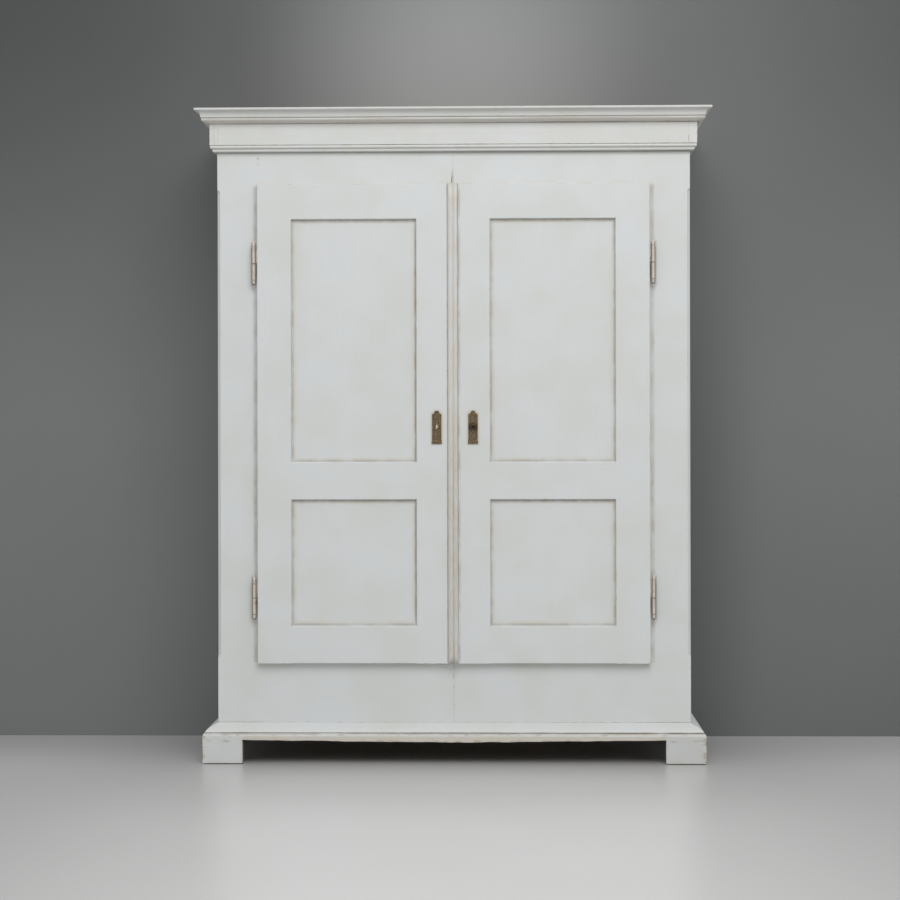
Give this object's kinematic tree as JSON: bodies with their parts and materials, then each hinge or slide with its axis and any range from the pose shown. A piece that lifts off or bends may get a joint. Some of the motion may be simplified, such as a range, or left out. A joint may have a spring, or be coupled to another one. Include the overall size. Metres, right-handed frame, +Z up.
{
  "type": "housekeepers cupboard",
  "caption": "Tall painted cupboard with panelled hinged doors, a meeting cover strip, key plates, shelves inside, a moulded lift-off cornice and a plinth on block feet.",
  "frame": {"origin": "on the floor, in the middle of the overall box of the cupboard", "axes": "+Z up, -Y out of the doors at the front, +X to the right of someone facing the doors"},
  "size_m": [1.595, 0.584, 2.026],
  "materials": {
    "painted_wood": "old satin off-white paint over pine, rubbed to cream and brown on the edges",
    "bare_pine": "unpainted pine, darkened with age",
    "painted_iron": "iron under worn paint",
    "aged_brass": "dark tarnished brass",
    "lock_iron": "blackened iron",
    "bolt_steel": "worn bright steel"
  },
  "bodies": {
    "carcass": {"plinth_front": "painted_wood", "plinth_side_left": "painted_wood", "plinth_side_right": "painted_wood", "plinth_back_rail": "bare_pine", "frieze_front": "painted_wood", "frieze_left": "painted_wood", "frieze_right": "painted_wood", "crown_front": "painted_wood", "crown_left": "painted_wood", "crown_right": "painted_wood", "top_board": "bare_pine", "side_panel_left": "painted_wood", "side_panel_right": "painted_wood", "partition_left": "bare_pine", "partition_right": "bare_pine", "bottom_board_left": "bare_pine", "bottom_board_right": "bare_pine", "shelf_left_1": "bare_pine", "shelf_left_2": "bare_pine", "shelf_right_1": "bare_pine", "shelf_right_2": "bare_pine", "back_boards_left": "bare_pine", "back_boards_right": "bare_pine", "outer_stile_left": "painted_wood", "outer_stile_right": "painted_wood", "centre_stile_left": "painted_wood", "centre_stile_right": "painted_wood", "top_rail_left": "painted_wood", "top_rail_right": "painted_wood", "bottom_rail_left": "painted_wood", "bottom_rail_right": "painted_wood", "left_upper_hinge_pin_half": "painted_iron", "left_lower_hinge_pin_half": "painted_iron", "right_upper_hinge_pin_half": "painted_iron", "right_lower_hinge_pin_half": "painted_iron"},
    "left_door": {"left_door_hinge_stile": "painted_wood", "left_door_lock_stile": "painted_wood", "left_door_top_rail": "painted_wood", "left_door_lock_rail": "painted_wood", "left_door_bottom_rail": "painted_wood", "left_door_upper_panel": "painted_wood", "left_door_lower_panel": "painted_wood", "left_escutcheon": "aged_brass", "left_lock_case": "lock_iron", "left_upper_hinge_door_half": "painted_iron", "left_lower_hinge_door_half": "painted_iron"},
    "right_door": {"right_door_hinge_stile": "painted_wood", "right_door_lock_stile": "painted_wood", "right_door_top_rail": "painted_wood", "right_door_lock_rail": "painted_wood", "right_door_bottom_rail": "painted_wood", "right_door_upper_panel": "painted_wood", "right_door_lower_panel": "painted_wood", "meeting_cover_strip": "painted_wood", "right_escutcheon": "aged_brass", "right_lock_case": "lock_iron", "right_upper_hinge_door_half": "painted_iron", "right_lower_hinge_door_half": "painted_iron"},
    "left_bolt": {"left_lock_bolt": "bolt_steel"},
    "right_bolt": {"right_lock_bolt": "bolt_steel"}
  },
  "joints": [
    {"name": "left_door_hinge", "type": "hinge", "parent": "carcass", "child": "left_door", "pos_m": [-0.618, -0.247, 0.309], "axis": [0, 0, -1], "range_deg": [0, 180]},
    {"name": "right_door_hinge", "type": "hinge", "parent": "carcass", "child": "right_door", "pos_m": [0.618, -0.247, 0.309], "axis": [0, 0, 1], "range_deg": [0, 180]},
    {"name": "left_bolt_slide", "type": "slide", "parent": "left_door", "child": "left_bolt", "axis": [1, 0, 0], "range_m": [0, 0.01]},
    {"name": "right_bolt_slide", "type": "slide", "parent": "right_door", "child": "right_bolt", "axis": [-1, 0, 0], "range_m": [0, 0.01]}
  ]
}
